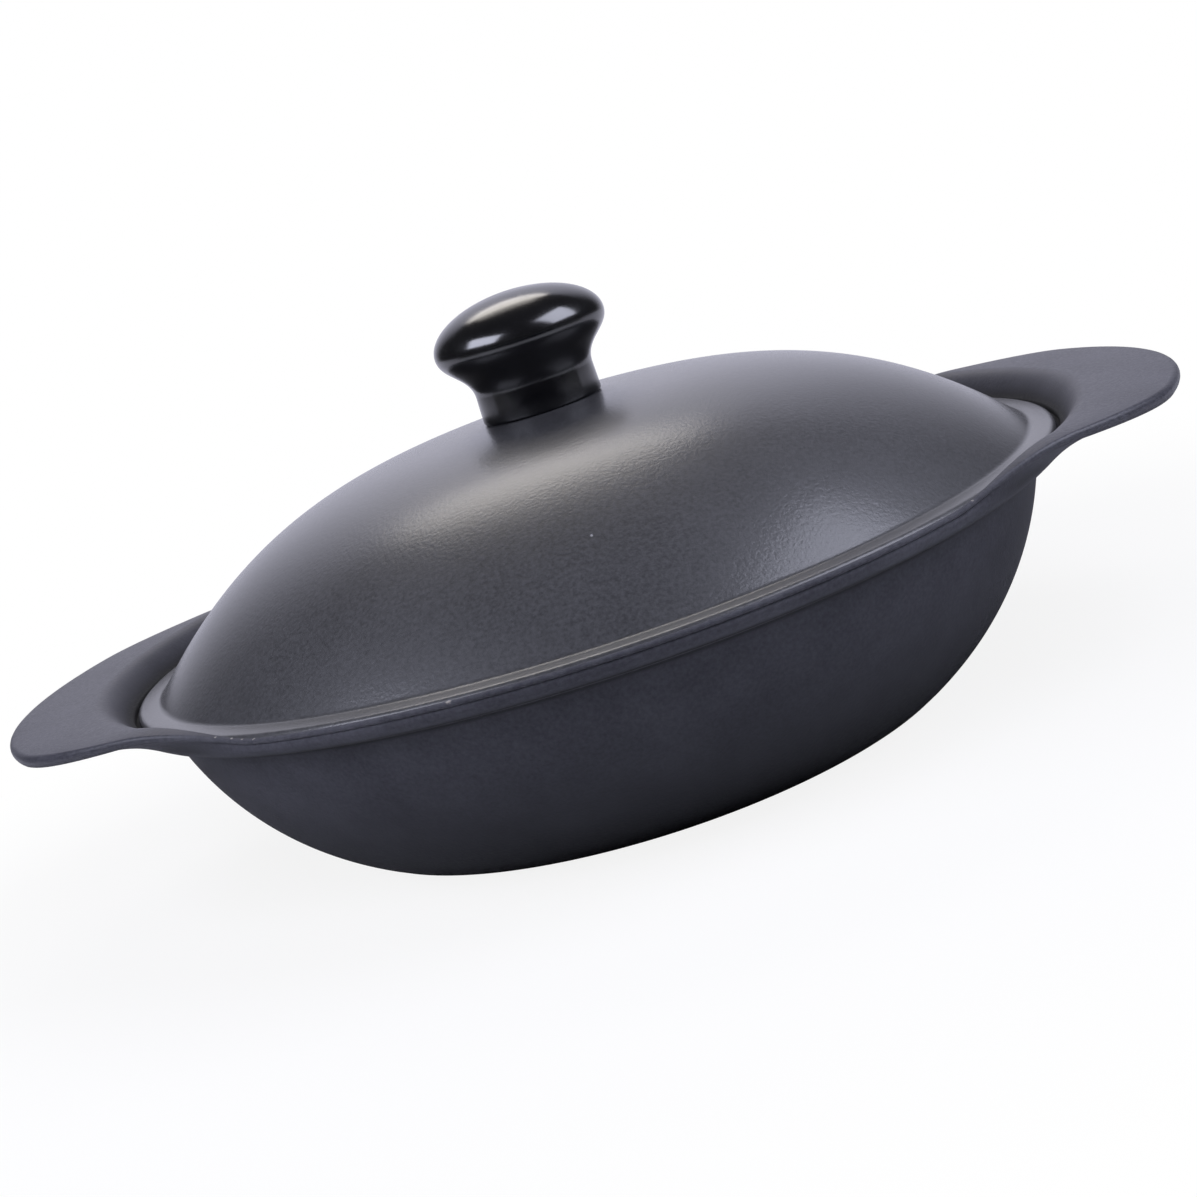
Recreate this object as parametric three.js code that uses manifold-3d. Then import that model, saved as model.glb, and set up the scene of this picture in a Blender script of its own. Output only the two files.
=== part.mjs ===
// A shallow cast iron pot with two wing handles, a domed lid and a knob that is screwed on from inside.
// Millimetres, +Z up. The origin is the middle of the flat underside, and +X runs along the handles.
import * as THREE from 'three';
import { mergeVertices } from 'three/addons/utils/BufferGeometryUtils.js';
import Module from 'manifold-3d';

// Bowl
const baseRadius = 76.5; // flat underside, out to where the wall starts to rise
const baseEdgeRound = 1.6; // how far the base's corner is rounded back
const baseThickness = 4;
const wallThickness = 3.5;
const wallArcRadius = 74.5; // the wall is one arc in section
const mouthRadius = 109.7; // inside of the wall at the lid's seat
const seatHeight = 50.8; // ledge that the lid's flange rests on

// Lip round the seat
const seatWidth = 9.8;
const seatEdgeBevel = 0.8;
const lidClearance = 1; // flange to the upright of the seat
const lipWidth = 1.4;
const lipUpstand = 1.5; // lip above the seat, at the front and back
const lipDepth = 5.2; // seat to the crease under the lip
const lipEdgeRadius = 0.6;
const lipTaper = 3.5; // how far the lip's outside leans in, down to its heel
const lipHeelRise = 1.3; // heel above the crease

// Wing handles
const wingProjection = 29.2; // lip to the tip of a wing
const wingEndRadius = 114; // plan radius of a wing's outer end
const wingTaperStart = 22; // degrees from the handle axis: the outline leaves the end's arc here
const wingTaperEnd = 48; // degrees: the outline is back on the lip here
const wingRampStart = 33; // degrees: full height up to here
const wingRampEnd = 50; // degrees: down to the lip's height from here
const wingRise = 5; // wing's top above the flange's top, at its root
const wingDroop = 2; // fall of the wing's top from its root to its tip
const wingEdgeRadius = 1.6;
const wingMouthWidth = 8; // rounded mouth between the seat and the wing's top
const wingMouthShare = 0.6; // most of the rim's width that the mouth may take up
const wingMouthDrop = 1.1; // bottom of that rounding, below the flange's top
const wingRootReach = 3.5; // fillet under a wing, out from the lip
const wingRootThickness = 5;

// Lid
const flangeThickness = 2.5;
const flangeWidth = 6.1;
const flangeEdgeRadius = 0.7;
const domeRise = 37.8; // flange's top to the flat under the knob
const domePower = 3.05; // how full the dome is: 2 is a parabola
const domeFootRound = 3;
const lidThickness = 2.8;
const knobLandMargin = 1.3; // flat on the dome beyond the knob's foot
const washerLandMargin = 1.5; // flat inside the dome beyond the washer

// Knob
const knobFootRadius = 15.3;
const knobFootRound = 0.9;
const knobNeckRadius = 15.1;
const knobNeckHeight = 7.2;
const knobFlareRise = 5.8; // how strongly the neck runs on upwards before it flares
const knobFlareDrop = 5; // how strongly the cap's side runs down before it turns in
const knobCapRadius = 21.9;
const knobCapHeight = 19.2; // widest point above the foot
const knobCrown = 10.9; // widest point to the top

// Screw, washers and insert
const fitGap = 0.3;
const screwRadius = 2.5;
const screwHeadRadius = 4.6;
const screwHeadHeight = 3;
const screwHeadRound = 1.6;
const screwTipBevel = 0.6;
const crossLength = 5.2;
const crossWidth = 1.1;
const crossDepth = 1.5;
const threadEngagement = 11;
const insertTail = 3; // insert beyond the screw's tip
const insertRadius = 4.5;
const insertGrooveDepth = 0.8;
const insertGrooveLength = 3;
const washerRadius = 7.5;
const washerThickness = 1;
const springWasherRadius = 4.6;
const springWasherThickness = 1.2;
const springWasherSlit = 0.9;
const springWasherSlant = 20; // degrees

// Facets
const potSteps = 80;
const wallFacets = 7;
const undersideFacets = 5;
const rimFacets = 4;
const lidSteps = 64;
const domeFacets = 10;
const domeFacetCrowding = 1.3; // above 1 puts more facets near the dome's steep foot
const footFacets = 3;
const edgeFacets = 2;
const knobSteps = 40;
const flareFacets = 7;
const crownFacets = 9;
const fastenerSteps = 24;
const headFacets = 3;
const weldDistance = 1e-4;

// Heights and radii that follow from the sizes above
const seatOuterRadius = mouthRadius + seatWidth;
const flangeRadius = seatOuterRadius - lidClearance;
const lipRadius = seatOuterRadius + lipWidth;
const lipTop = seatHeight + lipUpstand;
const creaseHeight = seatHeight - lipDepth;
const flangeTop = seatHeight + flangeThickness;
const wingReach = lipRadius + wingProjection;
const wingTop = flangeTop + wingRise;
const domeRadius = flangeRadius - flangeWidth;
const lidHeight = flangeThickness + domeRise;
const knobLandRadius = knobFootRadius + knobLandMargin;
const washerLandRadius = washerRadius + washerLandMargin;
const screwHoleRadius = screwRadius + fitGap;
const insertLength = threadEngagement + insertTail;
const washerStack = washerThickness + springWasherThickness;
const screwLength = washerStack + lidThickness + threadEngagement;

const radians = THREE.MathUtils.degToRad;
const blend = THREE.MathUtils.lerp;

const wasm = await Module();
wasm.setup();

// Small builders

// Points [r, z] of an arc about a centre, both ends included.
function arcPoints([centreR, centreZ], radiusR, radiusZ, from, to, count) {
  return Array.from({ length: count + 1 }, (_, i) => {
    const angle = blend(from, to, i / count);
    return [centreR + radiusR * Math.cos(angle), centreZ + radiusZ * Math.sin(angle)];
  });
}

// Points [r, z] of a cubic curve, both ends included.
function curvePoints(start, startPull, endPull, end, count) {
  const corners = [start, startPull, endPull, end].map(([r, z]) => new THREE.Vector2(r, z));
  const curve = new THREE.CubicBezierCurve(...corners);
  return curve.getPoints(count).map((point) => [point.x, point.y]);
}

// A body turned about Z from a profile of [r, z] points that runs up its outside.
function turned(profile, steps) {
  const points = profile.map(([r, z]) => new THREE.Vector2(r, z));
  return new THREE.LatheGeometry(points, steps).rotateX(Math.PI / 2);
}

// A closed body round Z whose section changes with the angle. Sections start and end on the axis.
function swept(sectionAt, steps) {
  const sections = Array.from({ length: steps }, (_, i) => sectionAt((2 * Math.PI * i) / steps));
  const count = sections[0].length;
  const ringCount = count - 2;
  const vertices = [];
  sections.forEach((section, i) => {
    const angle = (2 * Math.PI * i) / steps;
    section.slice(1, -1).forEach(([r, z]) => {
      vertices.push(r * Math.cos(angle), r * Math.sin(angle), z);
    });
  });
  const bottom = steps * ringCount;
  const top = bottom + 1;
  vertices.push(0, 0, sections[0][0][1]);
  vertices.push(0, 0, sections[0][count - 1][1]);
  const faces = [];
  for (let i = 0; i < steps; i += 1) {
    const here = i * ringCount;
    const next = ((i + 1) % steps) * ringCount;
    faces.push(bottom, next, here);
    for (let j = 0; j < ringCount - 1; j += 1) {
      faces.push(here + j, next + j, next + j + 1);
      faces.push(here + j, next + j + 1, here + j + 1);
    }
    faces.push(here + ringCount - 1, next + ringCount - 1, top);
  }
  const geometry = new THREE.BufferGeometry();
  geometry.setAttribute('position', new THREE.Float32BufferAttribute(vertices, 3));
  geometry.setIndex(faces);
  return geometry;
}

// A solid for joining and cutting, with the pinched triangles on a turned body's axis left out.
function solidOf(geometry) {
  const plain = geometry.clone();
  plain.deleteAttribute('normal');
  plain.deleteAttribute('uv');
  const merged = mergeVertices(plain, weldDistance);
  const index = merged.index.array;
  const faces = [];
  for (let i = 0; i < index.length; i += 3) {
    const [a, b, c] = [index[i], index[i + 1], index[i + 2]];
    if (a !== b && b !== c && c !== a) {
      faces.push(a, b, c);
    }
  }
  return new wasm.Manifold(new wasm.Mesh({
    numProp: 3,
    vertProperties: merged.attributes.position.array,
    triVerts: Uint32Array.from(faces),
  }));
}

function geometryOf(solid) {
  const { vertProperties, triVerts } = solid.getMesh();
  const geometry = new THREE.BufferGeometry();
  geometry.setAttribute('position', new THREE.BufferAttribute(vertProperties, 3));
  geometry.setIndex(new THREE.BufferAttribute(triVerts, 1));
  return geometry;
}

function piece(name, geometry, material, height = 0) {
  const mesh = new THREE.Mesh(geometry, material);
  mesh.name = name;
  mesh.position.z = height;
  return mesh;
}

// Pot body: bowl, lip, seat and wing handles in one casting

// Centre of the arc that the outside of the wall follows, from the base's edge to the seat's level.
function wallCentre() {
  const foot = new THREE.Vector2(baseRadius, 0);
  const head = new THREE.Vector2(mouthRadius + wallThickness, seatHeight);
  const chord = head.clone().sub(foot);
  const inward = new THREE.Vector2(-chord.y, chord.x).normalize();
  const sagittaArm = Math.sqrt(wallArcRadius ** 2 - chord.lengthSq() / 4);
  const centre = foot.clone().add(head).multiplyScalar(0.5).addScaledVector(inward, sagittaArm);
  return [centre.x, centre.y];
}

// How much of a wing there is at an angle from the handle axis: all of it to the start, none from the end.
function wingShare(angle, start, end) {
  return 1 - THREE.MathUtils.smoothstep(angle, radians(start), radians(end));
}

// Plan radius of a wing's end arc at an angle from the handle axis.
function wingEnd(angle) {
  const arcCentre = wingReach - wingEndRadius;
  const along = arcCentre * Math.cos(angle);
  return along + Math.sqrt(along ** 2 + wingEndRadius ** 2 - arcCentre ** 2);
}

// Angle on the wall's arc at a height.
function wallAngle([, centreZ], radius, height) {
  return Math.asin((height - centreZ) / radius);
}

// Section of the pot at an angle: underside, wall, lip or wing, seat and inside.
function potSection(angle) {
  const fromHandle = Math.acos(Math.abs(Math.cos(angle)));
  const spread = wingShare(fromHandle, wingTaperStart, wingTaperEnd);
  const rise = wingShare(fromHandle, wingRampStart, wingRampEnd);
  const reach = blend(lipRadius, wingEnd(fromHandle), spread);
  const edge = blend(lipEdgeRadius, wingEdgeRadius, spread);
  const rootTop = blend(lipTop, wingTop, rise);
  const edgeTop = rootTop - (wingDroop * (reach - lipRadius)) / wingProjection;
  const centre = wallCentre();
  const innerRadius = wallArcRadius - wallThickness;
  const outside = arcPoints(
    centre, wallArcRadius, wallArcRadius,
    wallAngle(centre, wallArcRadius, baseEdgeRound / 2), wallAngle(centre, wallArcRadius, creaseHeight),
    wallFacets,
  );
  const heel = [lipRadius - lipTaper, creaseHeight + lipHeelRise];
  const rootUnder = rootTop - blend(3 * lipEdgeRadius, wingRootThickness, spread);
  const underside = curvePoints(
    heel, [lipRadius, blend(heel[1], seatHeight, 0.5)],
    [lipRadius + wingRootReach * spread, rootUnder], [reach - edge, edgeTop - 2 * edge], undersideFacets,
  );
  const rim = arcPoints([reach - edge, edgeTop - edge], edge, edge, -Math.PI / 2, Math.PI / 2, rimFacets);
  const mouthWidth = Math.min(wingMouthWidth, wingMouthShare * (reach - edge - seatOuterRadius));
  const mouthDepth = blend(mouthWidth, wingRise + wingMouthDrop, rise);
  const mouth = arcPoints(
    [seatOuterRadius + mouthWidth, rootTop - mouthDepth], mouthWidth, mouthDepth,
    Math.PI / 2, Math.PI, rimFacets,
  );
  const inside = arcPoints(
    centre, innerRadius, innerRadius,
    wallAngle(centre, innerRadius, seatHeight - seatEdgeBevel), wallAngle(centre, innerRadius, baseThickness),
    wallFacets,
  );
  return [
    [0, 0],
    [baseRadius - baseEdgeRound, 0],
    ...outside,
    ...underside,
    ...rim.slice(1),
    ...mouth,
    [seatOuterRadius, seatHeight],
    [inside[0][0] + seatEdgeBevel, seatHeight],
    ...inside,
    [0, baseThickness],
  ];
}

// Lid: domed shell with a flat flange, a flat for the knob and a hole for its screw.
// Its own heights start at the flange's underside.

function domeHeight(r) {
  return flangeThickness + domeRise * (1 - (r / domeRadius) ** domePower);
}

function lidProfile() {
  const footStart = domeRadius - domeFootRound;
  const outer = Array.from({ length: domeFacets + 1 }, (_, i) => {
    const r = blend(footStart, knobLandRadius, (i / domeFacets) ** domeFacetCrowding);
    return [r, domeHeight(r)];
  });
  const inner = outer.map(([r, z]) => {
    const slope = (domeRise * domePower * (r / domeRadius) ** (domePower - 1)) / domeRadius;
    const length = Math.hypot(1, slope);
    return [r - (lidThickness * slope) / length, z - lidThickness / length];
  }).filter(([r, z]) => r > washerLandRadius && z > flangeThickness).reverse();
  const foot = curvePoints(
    [domeRadius + domeFootRound, flangeThickness], [domeRadius, flangeThickness],
    [domeRadius - domeFootRound / 2, domeHeight(domeRadius - domeFootRound / 2)], outer[0], footFacets,
  );
  const innerFootRadius = domeRadius - lidThickness * Math.SQRT2;
  const edgeCorner = flangeRadius - flangeEdgeRadius;
  const edge = arcPoints(
    [edgeCorner, flangeThickness - flangeEdgeRadius], flangeEdgeRadius, flangeEdgeRadius,
    0, Math.PI / 2, edgeFacets,
  );
  return [
    [screwHoleRadius, lidHeight - lidThickness],
    [washerLandRadius, lidHeight - lidThickness],
    ...inner,
    [innerFootRadius, 0],
    [edgeCorner, 0],
    [flangeRadius, flangeEdgeRadius / 2],
    ...edge,
    ...foot.slice(0, -1),
    ...outer.slice(0, -1),
    [knobLandRadius, lidHeight],
    [screwHoleRadius, lidHeight],
    [screwHoleRadius, lidHeight - lidThickness],
  ];
}

// Knob: a mushroom on a short neck, with a blind socket for the insert. Heights start at its foot.

function knobProfile() {
  const socketRadius = insertRadius + fitGap;
  const socketDepth = insertLength + fitGap;
  const flare = curvePoints(
    [knobNeckRadius, knobNeckHeight], [knobNeckRadius, knobNeckHeight + knobFlareRise],
    [knobCapRadius, knobCapHeight - knobFlareDrop], [knobCapRadius, knobCapHeight], flareFacets,
  );
  const crown = arcPoints([0, knobCapHeight], knobCapRadius, knobCrown, 0, Math.PI / 2, crownFacets);
  return [
    [0, socketDepth],
    [socketRadius, socketDepth],
    [socketRadius, 0],
    [knobFootRadius - knobFootRound, 0],
    [knobFootRadius, knobFootRound],
    ...flare,
    ...crown.slice(1, -1),
    [0, knobCapHeight + knobCrown],
  ];
}

// Insert: a brass bush with a retaining groove round its middle. Heights start at the knob's foot.

function insertProfile() {
  const bore = screwRadius + fitGap;
  const grooveLow = (insertLength - insertGrooveLength) / 2;
  const grooveHigh = grooveLow + insertGrooveLength;
  const grooveRadius = insertRadius - insertGrooveDepth;
  return [
    [bore, 0],
    [insertRadius, 0],
    [insertRadius, grooveLow],
    [grooveRadius, grooveLow],
    [grooveRadius, grooveHigh],
    [insertRadius, grooveHigh],
    [insertRadius, insertLength],
    [bore, insertLength],
    [bore, 0],
  ];
}

// Screw: pan head with a cross recess. Heights start at the head's bearing face, with the head below.

function screwGeometry() {
  const headSide = screwHeadHeight - screwHeadRound;
  const crown = arcPoints(
    [screwHeadRadius - screwHeadRound, -headSide], screwHeadRound, screwHeadRound,
    -Math.PI / 2, 0, headFacets,
  );
  const body = solidOf(turned([
    [0, -screwHeadHeight],
    ...crown,
    [screwHeadRadius, 0],
    [screwRadius, 0],
    [screwRadius, screwLength - screwTipBevel],
    [screwRadius - screwTipBevel, screwLength],
    [0, screwLength],
  ], fastenerSteps));
  const arms = [[crossLength, crossWidth], [crossWidth, crossLength]].map(([alongX, alongY]) => {
    const arm = new THREE.BoxGeometry(alongX, alongY, 2 * crossDepth);
    return solidOf(arm.translate(0, 0, -screwHeadHeight));
  });
  return geometryOf(body.subtract(arms[0].add(arms[1])));
}

// Washers. Heights start at the lower face.

function ringProfile(inner, outer, thickness) {
  return [[inner, 0], [outer, 0], [outer, thickness], [inner, thickness], [inner, 0]];
}

function springWasherGeometry() {
  const ring = solidOf(turned(
    ringProfile(screwHoleRadius, springWasherRadius, springWasherThickness), fastenerSteps,
  ));
  const slit = new THREE.BoxGeometry(springWasherRadius, springWasherSlit, 3 * springWasherThickness);
  slit.rotateX(radians(springWasherSlant));
  slit.translate(springWasherRadius / 2 + screwRadius / 2, 0, springWasherThickness / 2);
  return geometryOf(ring.subtract(solidOf(slit)));
}

// Finishes
const castIron = new THREE.MeshStandardMaterial({ color: '#37373c', roughness: 0.5, metalness: 0.3 });
const lidIron = new THREE.MeshStandardMaterial({ color: '#3c3c41', roughness: 0.4, metalness: 0.3 });
const phenolic = new THREE.MeshStandardMaterial({ color: '#0c0c0e', roughness: 0.12, metalness: 0 });
const brass = new THREE.MeshStandardMaterial({ color: '#b08d4a', roughness: 0.35, metalness: 1 });
const steel = new THREE.MeshStandardMaterial({ color: '#9a9da1', roughness: 0.3, metalness: 1 });

// Assembly: the lid's group stands on the seat, and its fixings hang from the lid's top
const lidUnit = new THREE.Group();
lidUnit.position.z = seatHeight;
lidUnit.add(piece('lid', turned(lidProfile(), lidSteps), lidIron));
lidUnit.add(piece('knob', turned(knobProfile(), knobSteps), phenolic, lidHeight));
lidUnit.add(piece('knob_insert', turned(insertProfile(), fastenerSteps), brass, lidHeight));
const lidInside = lidHeight - lidThickness;
const washerRing = turned(ringProfile(screwHoleRadius, washerRadius, washerThickness), fastenerSteps);
lidUnit.add(piece('flat_washer', washerRing, steel, lidInside - washerThickness));
lidUnit.add(piece('spring_washer', springWasherGeometry(), steel, lidInside - washerStack));
lidUnit.add(piece('knob_screw', screwGeometry(), steel, lidInside - washerStack));

const assembly = new THREE.Group();
assembly.add(piece('pot_body', swept(potSection, potSteps), castIron));
assembly.add(lidUnit);

export default assembly;
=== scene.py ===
import math

import bpy
import numpy as np
from mathutils import Matrix, Vector, noise


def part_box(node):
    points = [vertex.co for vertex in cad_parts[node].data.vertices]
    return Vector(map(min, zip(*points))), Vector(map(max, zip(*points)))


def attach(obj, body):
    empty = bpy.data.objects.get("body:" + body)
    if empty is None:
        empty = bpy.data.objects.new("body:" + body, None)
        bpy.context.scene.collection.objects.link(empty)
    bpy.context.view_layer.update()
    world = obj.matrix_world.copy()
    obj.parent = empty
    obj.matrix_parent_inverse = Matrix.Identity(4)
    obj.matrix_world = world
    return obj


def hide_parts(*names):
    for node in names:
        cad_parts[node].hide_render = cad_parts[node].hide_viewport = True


# A shallow cast iron pot with two wing handles, a domed lid and a screwed-on knob, on white paper.
# Metres, in the frame of the solids: the origin is the underside's middle, and +X runs along the handles.
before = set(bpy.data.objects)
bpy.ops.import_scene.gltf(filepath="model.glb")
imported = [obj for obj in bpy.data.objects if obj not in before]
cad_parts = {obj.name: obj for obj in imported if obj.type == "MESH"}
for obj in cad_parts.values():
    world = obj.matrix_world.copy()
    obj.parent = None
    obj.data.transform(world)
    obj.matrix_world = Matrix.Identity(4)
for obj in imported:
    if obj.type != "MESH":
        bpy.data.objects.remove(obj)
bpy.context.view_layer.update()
scene = bpy.context.scene
scene.view_settings.view_transform = "Standard"


# Camera
# It stands close in front, ten degrees above the rim, with a short telephoto lens. It is rolled, so that
# the pot leans in the picture with its right handle up.
MM = 0.001
lid_low, lid_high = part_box("lid")
flange_thickness = 2.5 * MM
camera_target = Vector((0, 0, lid_low.z + flange_thickness))
camera_distance = 549.6 * MM
camera_elevation = math.radians(9.85)
camera_azimuth = math.radians(1.61)
camera_roll = math.radians(18.22)
photo_side = 1197  # pixels
focal_length = 2186.9  # pixels
target_left_of_centre = 8.3  # pixels
target_above_centre = 49.3  # pixels

back = Vector((
    math.sin(camera_azimuth) * math.cos(camera_elevation),
    -math.cos(camera_azimuth) * math.cos(camera_elevation),
    math.sin(camera_elevation),
))
level_right = Vector((math.cos(camera_azimuth), math.sin(camera_azimuth), 0))
level_up = back.cross(level_right)
camera_right = level_right * math.cos(camera_roll) - level_up * math.sin(camera_roll)
camera_up = level_up * math.cos(camera_roll) + level_right * math.sin(camera_roll)

camera = bpy.data.objects.new("camera", bpy.data.cameras.new("camera"))
scene.collection.objects.link(camera)
turn = Matrix((camera_right, camera_up, back)).transposed()
camera.matrix_world = Matrix.Translation(camera_target + back * camera_distance) @ turn.to_4x4()
camera.data.lens = camera.data.sensor_width * focal_length / photo_side
camera.data.shift_x = target_left_of_centre / photo_side
camera.data.shift_y = -target_above_centre / photo_side
camera.data.clip_start = 10 * MM
scene.camera = camera


# Pot body
# One iron casting: bowl, lip, lid seat and both wing handles leave the mould together. It is blasted and
# baked with oil, which leaves a dull blue-black skin that wears to grey along the rim. Sizes are in
# millimetres.
pot_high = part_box("pot_body")[1]
base_radius = 76.5
base_edge_round = 1.8
base_thickness = 4.0
wall_thickness = 3.5
wall_arc_radius = 74.5
mouth_radius = 109.7
floor_round = 9.0
seat_height = lid_low.z / MM
seat_width = 9.8
seat_radius = mouth_radius + seat_width
seat_edge_round = 0.9
seat_corner_round = 0.5
inner_wall_top = seat_height - 2.0
lip_radius = pot_high.y / MM
lip_top = seat_height + 2.1
lip_edge_radius = 0.6
lip_root_thickness = 1.8
lip_taper = 3.5
crease_height = seat_height - 4.35
crease_round = 1.2
heel_rise = 1.3
heel_round = 0.9
wing_reach = pot_high.x / MM
wing_projection = wing_reach - lip_radius
wing_end_radius = 114.0
wing_taper = (20, 48)  # degrees from the handles' axis: full width before, none after
wing_ramp = (33, 50)  # degrees: full height before, lip height after
wing_top = pot_high.z / MM
wing_rise = 5.0
wing_droop = 1.2
wing_edge_radius = 1.6
wing_mouth_width = 8.0
wing_mouth_share = 0.6
wing_mouth_drop = 1.1
wing_ridge_width = 4.6  # of the mouth's width, over which the plate rounds over before the mouth drops
wing_mouth_foot = (2.2, 0.2)  # pull of the mouth's hollow foot, outwards and upwards
wing_root_reach = 3.5
wing_root_thickness = 5.0
lip_unevenness = 0.05
lip_wave = 5.0  # length of the lip's unevenness
rim_wear_reach = 1.1
wing_wear_loss = 0.8  # share of the wear that the thick wing edges don't show
# Reaches of the painted shade in the crease under the lip, at the lip's heel and in the wings' mouths
crease_shade_reach = 0.9
heel_shade_reach = 1.7
mouth_shade_reach = 2.6
rim_chips = (  # degrees from +X, and radius
    (-106, 0.6), (-47, 0.3), (224.4, 0.25), (226.6, 0.3), (228.2, 0.3), (230, 0.35),
)

# Rings and facets of the pot's mesh
base_ring_shares = (0, 0.25, 0.5, 0.75, 0.95)
floor_ring_shares = (0.8, 0.6, 0.4, 0.2, 0)
seat_ring_shares = (0.3, 0.6)
base_edge_facets = 6
wall_facets = 36
crease_facets = 5
heel_facets = 5
face_facets = 18
face_start = 3  # facets of the lip's face that the rounding of its heel takes up
rim_facets = 10
mouth_facets = 14
seat_corner_facets = 4
seat_edge_facets = 5
inner_wall_facets = 32
floor_round_facets = 8
pot_steps = 400


def arc(centre, radius_r, radius_z, start, end, count):
    """Points (r, z) along an arc, both ends included."""
    turns = np.linspace(start, end, count + 1)
    return np.column_stack((centre[0] + radius_r * np.cos(turns), centre[1] + radius_z * np.sin(turns)))


def cubic(first, first_pull, last_pull, last, count):
    """Points (r, z) along a cubic curve, both ends included."""
    t = np.linspace(0, 1, count + 1)[:, None]
    first, first_pull, last_pull, last = (np.array(p, float) for p in (first, first_pull, last_pull, last))
    rising = 3 * t * (1 - t) ** 2 * first_pull + 3 * t ** 2 * (1 - t) * last_pull
    return (1 - t) ** 3 * first + rising + t ** 3 * last


def rounded(before, corner, after, reach, count):
    """Points (r, z) round a corner, from reach before it to reach after it."""
    before, corner, after = (np.array(p, float) for p in (before, corner, after))
    first = corner + reach * (before - corner) / np.linalg.norm(before - corner)
    last = corner + reach * (after - corner) / np.linalg.norm(after - corner)
    t = np.linspace(0, 1, count + 1)[:, None]
    return (1 - t) ** 2 * first + 2 * t * (1 - t) * corner + t ** 2 * last


def blend(low, high, share):
    return low + (high - low) * share


def fading(angle, ends):
    """1 up to the first of two angles in degrees, 0 from the second, smooth in between."""
    start, end = (math.radians(x) for x in ends)
    t = min(1, max(0, (angle - start) / (end - start)))
    return 1 - t * t * (3 - 2 * t)


def wall_centre():
    """Centre of the arc that the wall's outside follows, from the base's edge to the seat's level."""
    foot = np.array((base_radius, 0))
    head = np.array((mouth_radius + wall_thickness, seat_height))
    chord = head - foot
    inward = np.array((-chord[1], chord[0])) / np.linalg.norm(chord)
    return (foot + head) / 2 + inward * math.sqrt(wall_arc_radius ** 2 - chord @ chord / 4)


def wall_point(radius, height):
    """Point (r, z) at a height on the wall's outside or inside, named by the radius of its arc."""
    centre = wall_centre()
    return np.array((centre[0] + math.sqrt(radius ** 2 - (height - centre[1]) ** 2), height))


def wall_arc(radius, low, high, count):
    """Points (r, z) along the wall's outside or inside, from one height to another."""
    centre = wall_centre()
    ends = [math.asin((height - centre[1]) / radius) for height in (low, high)]
    return arc(centre, radius, radius, *ends, count)


def wing_end(angle):
    """Plan radius of the wing's end arc at an angle from the handles' axis."""
    centre = wing_reach - wing_end_radius
    along = centre * math.cos(angle)
    return along + math.sqrt(along ** 2 + wing_end_radius ** 2 - centre ** 2)


def nearness(points, place, reach):
    """1 at a place, and fading to nothing at about twice the reach from it."""
    return np.exp(-(np.linalg.norm(points - place, axis=1) / reach) ** 2)


def rim_at(angle):
    """Shares of the wing's width and height at an angle, and the rim's reach, edge radius and edge height."""
    from_handle = math.acos(min(1, abs(math.cos(angle))))
    spread = fading(from_handle, wing_taper)
    rise = fading(from_handle, wing_ramp)
    reach = blend(lip_radius, wing_end(from_handle), spread)
    edge = blend(lip_edge_radius, wing_edge_radius, spread)
    edge_top = blend(lip_top, wing_top, rise) - wing_droop * (reach - lip_radius) / wing_projection
    return spread, rise, reach, edge, edge_top


def wing_mouth(top, foot, rise):
    """Points (r, z) from the rim's top to the seat: a round on the lip, a ridge and a drop on a wing."""
    width, depth = top - foot
    scale = width / wing_mouth_width
    plain = arc((top[0], foot[1]), width, depth, math.pi / 2, math.pi, mouth_facets)
    ridge_pull = top - np.array((wing_ridge_width * scale, 0))
    foot_pull = foot + np.array(wing_mouth_foot) * scale
    return blend(plain, cubic(top, ridge_pull, foot_pull, foot, mouth_facets), rise)


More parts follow.
